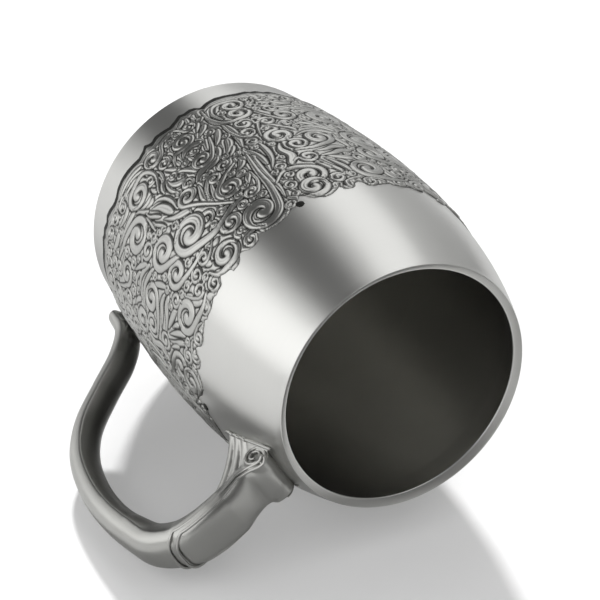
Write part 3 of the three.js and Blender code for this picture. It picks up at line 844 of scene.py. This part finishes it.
root_length = 29.0
root_drop = 18.2
root_top = 3.4
toe_depth = half_deep * 0.5
flute_depth = 0.9
flute_width = 3.5
root_half = 6.9
bracket_steps = 40
bracket_corners = 200


def flare(share):
    """Half the width of the bracket on the wall, at a share of its height."""
    return 9.6 - 2.8 * (1.0 - share) ** 1.6


def ripple(rise):
    """Three flutes run along the lower edge of each side. It is 1 on their crests and in the plain
    panel above."""
    return abs(math.sin(math.pi * rise / flute_width)) if rise < 3 * flute_width else 1.0


bracket = []
for step in range(-1, bracket_steps + 1):
    share = max(0.0, step / bracket_steps) ** 2
    off = root_length * share if step >= 0 else -wall
    near_wall = math.exp(-(max(off, 0.0) / 2.6) ** 1.3)
    top = root_top - 1.6 * min(max(off, 0.0) / 8.0, 1.0)
    drop = toe_depth + (root_drop - toe_depth) * (1.0 - share) ** 2.3
    ring = []
    for corner in range(bracket_corners):
        angle = math.tau * corner / bracket_corners
        full = (abs(math.cos(angle)) ** 6.67 + abs(math.sin(angle)) ** 6.67) ** 0.15
        side = math.cos(angle) / full
        rise = math.sin(angle) / full
        level = min((rise + 1.0) / 2.0, 1.0)
        crest = ripple(level * (top + drop)) if abs(side) > abs(rise) else abs(math.sin(3 * math.pi * side))
        cut = flute_depth * (1.0 - share) * (1.0 - crest ** 0.6) * (rise < abs(side))
        hollow = 3.0 * near_wall * (1.0 - (side / rise) ** 4) if rise > abs(side) else 0.0
        z = arm_z + (top - drop) / 2 + rise * ((top + drop) / 2 - cut * (rise < 0)) - hollow
        half = (root_half - 1.4 * share) * (1.0 - 0.4 * (1.0 - level) * share ** 0.5)
        y = side * (half + (flare(level) - root_half) * near_wall - cut)
        ring.append(Vector((math.sqrt(wall_radius(z) ** 2 - y ** 2) + off, y, z)))
    bracket.append(ring)
skin(casting, bracket)


def tube(shape, path, radii):
    """A round bead along a path, closed at its ends."""
    sides = 12
    angles = [math.tau * side / sides for side in range(sides)]
    rings = []
    for step, spot in enumerate(path):
        way = (path[min(step + 1, len(path) - 1)] - path[max(step - 1, 0)]).normalized()
        turn = way.to_track_quat("Z", "Y").to_matrix()
        ring = [turn @ Vector((math.cos(angle), math.sin(angle), 0.0)) for angle in angles]
        rings.append([spot + point * radii[step] for point in ring])
    skin(shape, rings)


# A scalloped lip edges the bracket on the wall, and a scroll coils on the plain panel of each side.
trim = bmesh.new()
volute_x = wall_radius(arm_z) + 2.8
volute_z = arm_z + 0.2
volute_radius = 4.2
volute_face = 8.0
for hand in (-1.0, 1.0):
    edge_line = []
    for step in range(61):
        level = step / 60
        z = arm_z - root_drop + (root_top + root_drop) * level
        y = hand * (flare(level) - 0.8 + 0.6 * ripple((root_top + root_drop) * level))
        edge_line.append(Vector((math.sqrt(wall_radius(z) ** 2 - y ** 2) + 0.35, y, z)))
    tube(trim, edge_line, [0.45] * 61)
    boss = bmesh.ops.create_cone(casting, cap_ends=True, segments=48, radius1=volute_radius,
                                 radius2=volute_radius - 0.2, depth=volute_face)["verts"]
    bmesh.ops.rotate(casting, verts=boss, matrix=Matrix.Rotation(-hand * math.pi / 2, 3, "X"))
    bmesh.ops.translate(casting, verts=boss, vec=(volute_x, hand * volute_face / 2, volute_z))
    coil = []
    for step in range(91):
        t = step / 90
        angle = math.pi / 2 + math.tau * 2.0 * t
        radius = (volute_radius - 0.4) * (1.0 - 0.8 * t ** 0.9)
        coil.append(Vector((volute_x + radius * math.cos(angle), hand * (volute_face + 0.15 + 0.5 * t),
                            volute_z + radius * math.sin(angle))))
    tube(trim, coil, [0.44 - 0.1 * step / 90 for step in range(91)])

# Two beads edge the raised panel. Each rises low on one side of the arm, runs round the panel's end and
# back past the scroll on the other side to the bracket's upper corner.
bead_runs = (
    (25.0, 11.0, 0.331, 1.0, 0.42, [(6.0, 7.5, 2.6), (3.8, 7.8, 4.1), (1.9, 8.3, 4.7), (0.5, 9.6, 4.2)]),
    (9.0, -4.0, 0.345, 0.0, 0.46, [(6.6, 7.8, 1.2), (4.4, 8.1, 2.4), (2.4, 8.6, 3.3), (0.8, 9.7, 3.2)]),
)
for near_turn, far_turn, end_share, follow, bead_radius, corner in bead_runs:
    ridge = [(share, far_turn) for share in np.linspace(0.18, end_share - 0.016, 24)]
    for k in range(1, 24):
        sweep_turn = far_turn + (180.0 - near_turn - far_turn) * k / 24
        ridge.append((end_share - 0.016 + 0.022 * math.sin(math.pi * k / 24) ** 0.8, sweep_turn))
    ridge += [(share, 180.0 - near_turn) for share in np.linspace(end_share - 0.016, 0.155, 24)]
    path = []
    for share, turn in ridge:
        lift = 0.3 + follow * panel_lift(min(share, panel_to - 0.01))
        path += strap_spots(share, [math.radians(turn)], lift)
    path += [Vector((wall_radius(arm_z) + out, -y, arm_z + up)) for out, y, up in corner]
    smooth = through([tuple(spot) for spot in path], np.linspace(0.0, 1.0, 2 * len(path)))
    radii = [bead_radius * min(1.0, 0.02 + step / 30) for step in range(len(smooth))]
    tube(trim, [Vector(spot) for spot in smooth], radii)

# The root sits a little to one side of the handle's plane, and its flare is less on the other side.
far_half = 7.2
far_flare = 0.25
root_lean = 0.7
for vert in [*casting.verts, *trim.verts]:
    off = vert.co.x - wall_radius(min(vert.co.z, height))
    if vert.co.z > arm_z - root_drop - 2.0:
        if off < 6.0:
            vert.co.y = min(vert.co.y, far_half + (vert.co.y - far_half) * far_flare)
        vert.co.y -= root_lean * min(max((reach - off) / 16.0, 0.0), 1.0)

# The overlapping shells are fused and eased into one casting, and the crisp lip, coils and beads are
# added after that. What reaches into the wall is drawn back to just under its surface.
bmesh.ops.recalc_face_normals(casting, faces=casting.faces)
blank = bpy.data.meshes.new("handle_blank")
casting.to_mesh(blank)
casting.free()
blank_object = bpy.data.objects.new("handle_blank", blank)
bpy.context.scene.collection.objects.link(blank_object)
fuse = blank_object.modifiers.new("fuse", "REMESH")
fuse.mode = "VOXEL"
fuse.voxel_size = 0.30
bpy.context.view_layer.update()
fused = bpy.data.meshes.new_from_object(blank_object.evaluated_get(bpy.context.evaluated_depsgraph_get()))
bpy.data.objects.remove(blank_object)
casting = bmesh.new()
casting.from_mesh(fused)
for _ in range(4):
    bmesh.ops.smooth_vert(casting, verts=casting.verts, factor=0.5,
                          use_axis_x=True, use_axis_y=True, use_axis_z=True)
bmesh.ops.recalc_face_normals(trim, faces=trim.faces)
trim.to_mesh(blank)
trim.free()
casting.from_mesh(blank)
for vert in casting.verts:
    radius = math.hypot(vert.co.x, vert.co.y)
    bed = wall_radius(min(max(vert.co.z, 0.0), height)) - 0.15
    if radius < bed:
        vert.co.x *= bed / radius
        vert.co.y *= bed / radius
casting.normal_update()

# Painted shade: the palm is coloured darker than the back, for the shade in the loop. It is told by how
# squarely a spot faces the middle of the loop.
loop_x = 48.0
loop_low = 30.0
loop_high = 92.0
palm = casting.verts.layers.float.new("palm")
for vert in casting.verts:
    level = min(max(vert.co.z, loop_low), loop_high)
    inward = Vector((loop_x - vert.co.x, 0.0, level - vert.co.z)).normalized()
    clear = min(max((vert.co.x - 50.0) / 8.0, 0.0), 1.0) if vert.co.z > 70.0 else 1.0
    vert[palm] = clear * min(max((vert.normal.dot(inward) - 0.1) / 0.5, 0.0), 1.0)
handle = stand(casting, "handle_casting", "cast_pewter", "handle")
cast_finish, tree = new_finish("cast_pewter")
place = Shade.node(tree, "ShaderNodeTexCoord", out="Object")
cloud = speckle(tree, place, 70.0, 4.0)
grain = speckle(tree, place, 1500.0, 2.0)
colour = blend(tree, cloud, (0.36, 0.36, 0.345, 1.0), (0.43, 0.43, 0.412, 1.0))
palm_painted_shade = Shade.node(tree, "ShaderNodeAttribute", {"attribute_name": "palm"}, out="Fac")
# The palm's painted shade darkens the metal's colour there.
colour = blend(tree, palm_painted_shade, colour, (0.17, 0.17, 0.16, 1.0))
tooth = Shade.node(tree, "ShaderNodeBump", sockets={"Strength": 0.15, "Distance": 0.00003, "Height": grain})
show(tree, Shade.node(tree, "ShaderNodeBsdfPrincipled", sockets={
    "Base Color": colour, "Metallic": 1.0, "Roughness": 0.31 + 0.06 * grain, "Normal": tooth,
}))
handle.data.materials.append(cast_finish)
